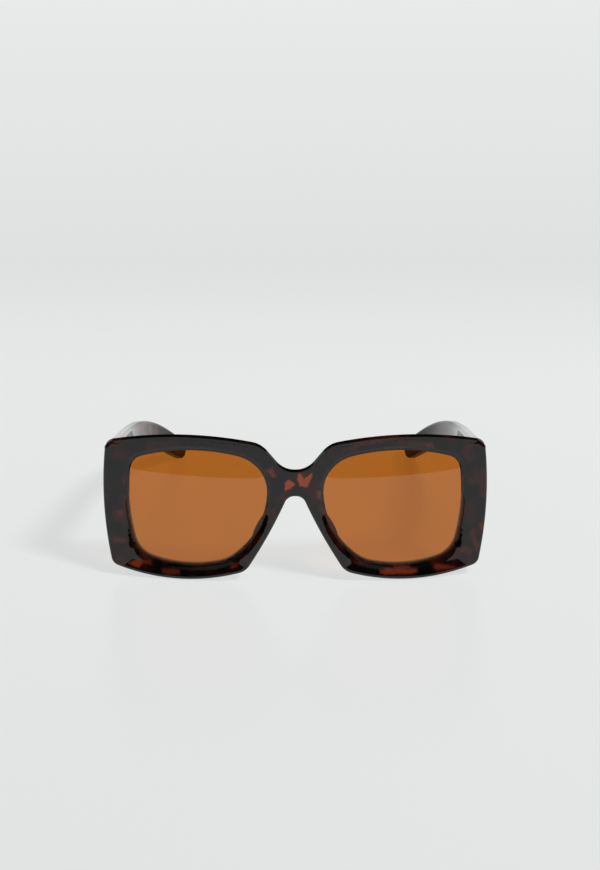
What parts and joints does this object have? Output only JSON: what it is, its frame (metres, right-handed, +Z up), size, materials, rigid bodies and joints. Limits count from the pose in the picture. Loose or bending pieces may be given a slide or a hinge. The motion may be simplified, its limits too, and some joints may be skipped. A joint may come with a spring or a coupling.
{
  "type": "oversized sunglasses",
  "caption": "Oversized square sunglasses with a thick tortoiseshell front, brown lenses and wide temples that fold on screw hinges.",
  "frame": {"origin": "on the level surface the sunglasses stand on, under the middle of their box", "axes": "+X runs to the wearer's left across the front, +Y runs back along the temples, +Z is up"},
  "size_m": [0.147, 0.142, 0.0569],
  "materials": {
    "tortoise_acetate": "polished tortoiseshell, near black with red-brown patches",
    "temple_acetate": "polished tortoiseshell, near black with red-brown patches",
    "lens_brown": "clear amber-brown tint, polished",
    "nose_pad": "polished",
    "hinge_metal": "fine brushed",
    "screw_metal": "turned",
    "core_wire": "drawn wire"
  },
  "bodies": {
    "front": {"front_frame": "tortoise_acetate", "lens_left": "lens_brown", "lens_right": "lens_brown", "nose_pad_left": "nose_pad", "nose_pad_right": "nose_pad", "front_hinge_leaf_left": "hinge_metal", "front_hinge_leaf_right": "hinge_metal", "hinge_screw_left": "screw_metal", "hinge_screw_right": "screw_metal"},
    "temple_left": {"temple_left": "temple_acetate", "temple_hinge_leaf_left": "hinge_metal", "temple_core_wire_left": "core_wire"},
    "temple_right": {"temple_right": "temple_acetate", "temple_hinge_leaf_right": "hinge_metal", "temple_core_wire_right": "core_wire"}
  },
  "joints": [
    {"name": "temple_left_hinge", "type": "hinge", "parent": "front", "child": "temple_left", "pos_m": [-0.06674, -0.04966, 0.04192], "axis": [0, -0.2011, -0.9796], "range_deg": [0, 84]},
    {"name": "temple_right_hinge", "type": "hinge", "parent": "front", "child": "temple_right", "pos_m": [0.06674, -0.04966, 0.04192], "axis": [0, 0.2011, 0.9796], "range_deg": [0, 76]}
  ]
}
